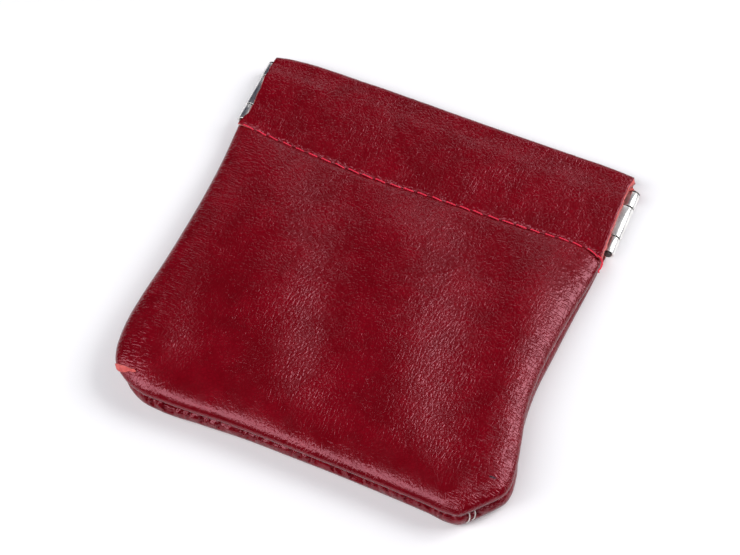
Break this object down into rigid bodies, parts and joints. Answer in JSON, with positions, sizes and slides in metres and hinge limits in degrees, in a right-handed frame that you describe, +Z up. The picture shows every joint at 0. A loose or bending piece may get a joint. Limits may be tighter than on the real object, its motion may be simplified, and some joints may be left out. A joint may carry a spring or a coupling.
{
  "type": "coin purse",
  "caption": "Small leather squeeze purse lying on its back: a turned pouch with puffed seams and a topstitched mouth held shut by a sprung flex frame of strips and pins.",
  "frame": {"origin": "on the surface the purse lies on, under the middle of its box", "axes": "+X along the mouth to the right, +Y from the bottom seam to the mouth, +Z up out of the front of the purse"},
  "size_m": [0.0826, 0.0848, 0.0083],
  "materials": {
    "panel_leather": "pebbled red leather with a satin finish, coral flesh side inside",
    "casing_leather": "pebbled red leather with a satin finish, raw coral edges at the hinges",
    "topstitch_thread": "bright crimson twisted thread",
    "seam_thread": "dark red twisted thread",
    "tack_thread": "off-white two-ply thread",
    "spring_steel": "bright nickel plate",
    "pin_steel": "drawn steel wire, dull ends"
  },
  "bodies": {
    "pouch": {"back_panel": "panel_leather", "seam_thread": "seam_thread", "corner_tack": "tack_thread"},
    "back_left": {"back_casing_left": "casing_leather", "back_topstitch_left": "topstitch_thread", "back_strip_left": "spring_steel", "hinge_pin_left": "pin_steel"},
    "back_right": {"back_casing_right": "casing_leather", "back_topstitch_right": "topstitch_thread", "back_strip_right": "spring_steel", "hinge_pin_right": "pin_steel"},
    "front_left": {"front_casing_left": "casing_leather", "front_topstitch_left": "topstitch_thread", "front_strip_left": "spring_steel"},
    "front_right": {"front_casing_right": "casing_leather", "front_topstitch_right": "topstitch_thread", "front_strip_right": "spring_steel"},
    "front_leather": {"front_panel": "panel_leather"}
  },
  "joints": [
    {"name": "left_hinge", "type": "hinge", "parent": "back_left", "child": "front_left", "pos_m": [-0.04, 0.0314, 0.0025], "axis": [0, -1, 0], "range_deg": [0, 36], "stiffness_Nm_per_rad": 0.02},
    {"name": "back_left_bend", "type": "hinge", "parent": "pouch", "child": "back_left", "pos_m": [0, 0.0314, 0.0014], "axis": [0, 1, 0], "range_deg": [0, 18]},
    {"name": "back_right_bend", "type": "hinge", "parent": "pouch", "child": "back_right", "pos_m": [0, 0.0314, 0.0014], "axis": [0, -1, 0], "range_deg": [0, 18]},
    {"name": "front_bend", "type": "hinge", "parent": "front_left", "child": "front_right", "pos_m": [0, 0.0314, 0.0036], "axis": [0, 1, 0], "range_deg": [0, 36]},
    {"name": "front_swing", "type": "hinge", "parent": "pouch", "child": "front_leather", "pos_m": [0, -0.0424, 0.017], "axis": [1, 0, 0], "range_deg": [0, 22.5]}
  ],
  "couplings": [
    {"joint": "back_left_bend", "follows": "left_hinge", "ratio": 0.5},
    {"joint": "back_right_bend", "follows": "left_hinge", "ratio": 0.5},
    {"joint": "front_bend", "follows": "left_hinge", "ratio": 1},
    {"joint": "front_swing", "follows": "left_hinge", "ratio": 0.625}
  ]
}
